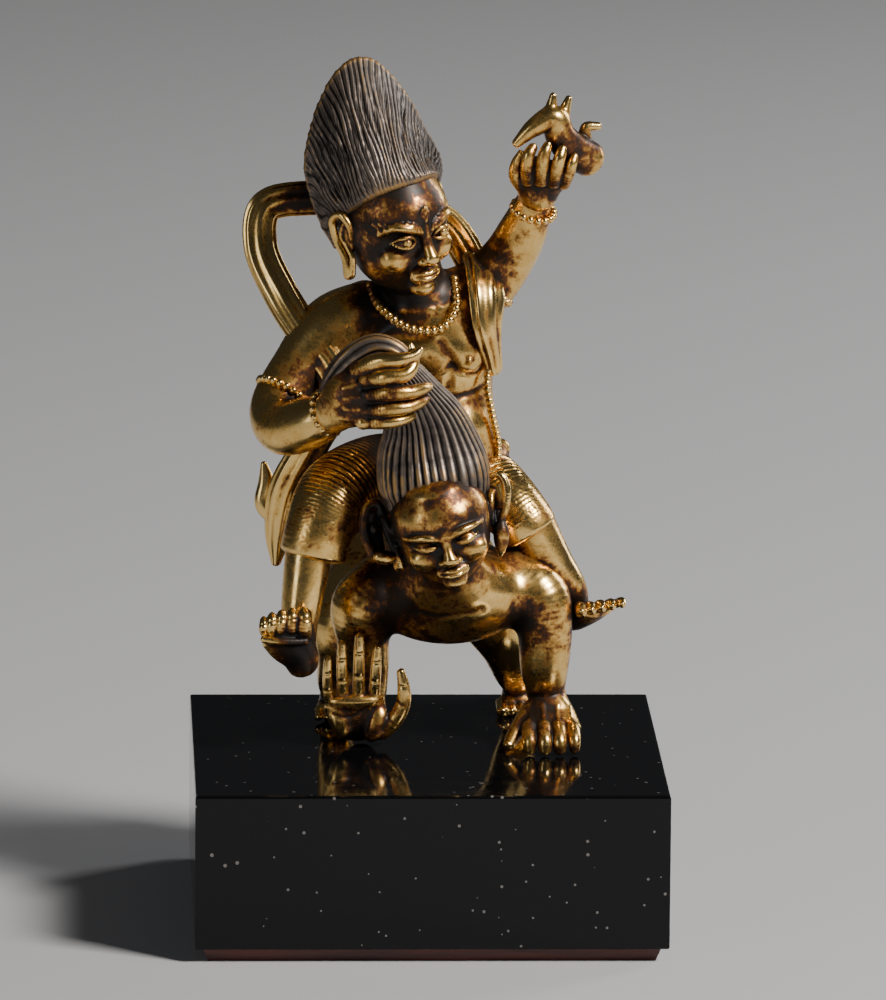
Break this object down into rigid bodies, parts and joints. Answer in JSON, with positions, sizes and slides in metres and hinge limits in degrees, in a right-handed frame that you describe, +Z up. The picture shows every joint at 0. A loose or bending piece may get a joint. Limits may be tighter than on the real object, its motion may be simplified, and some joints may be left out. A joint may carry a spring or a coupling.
{
  "type": "jambhala statue",
  "caption": "Small gilt metal figure with tall upswept hair riding a crawling man and holding up a small animal, standing on a polished black square plinth.",
  "frame": {"origin": "middle of the plinth's underside", "axes": "+Z up, -Y is the front that the group faces, +X towards the rider's raised hand"},
  "size_m": [0.068, 0.068, 0.125],
  "materials": {
    "gilt_bronze": "fire gilding worn to dark brown in the recesses, hair left dark",
    "black_lacquer": "black lacquer polished to a mirror gloss, with dust and fine scratches",
    "red_brown_wood": "dark red-brown stain, satin"
  },
  "bodies": {
    "root": {"rider_and_mount": "gilt_bronze", "plinth_block": "black_lacquer", "plinth_foot": "red_brown_wood"}
  },
  "joints": []
}
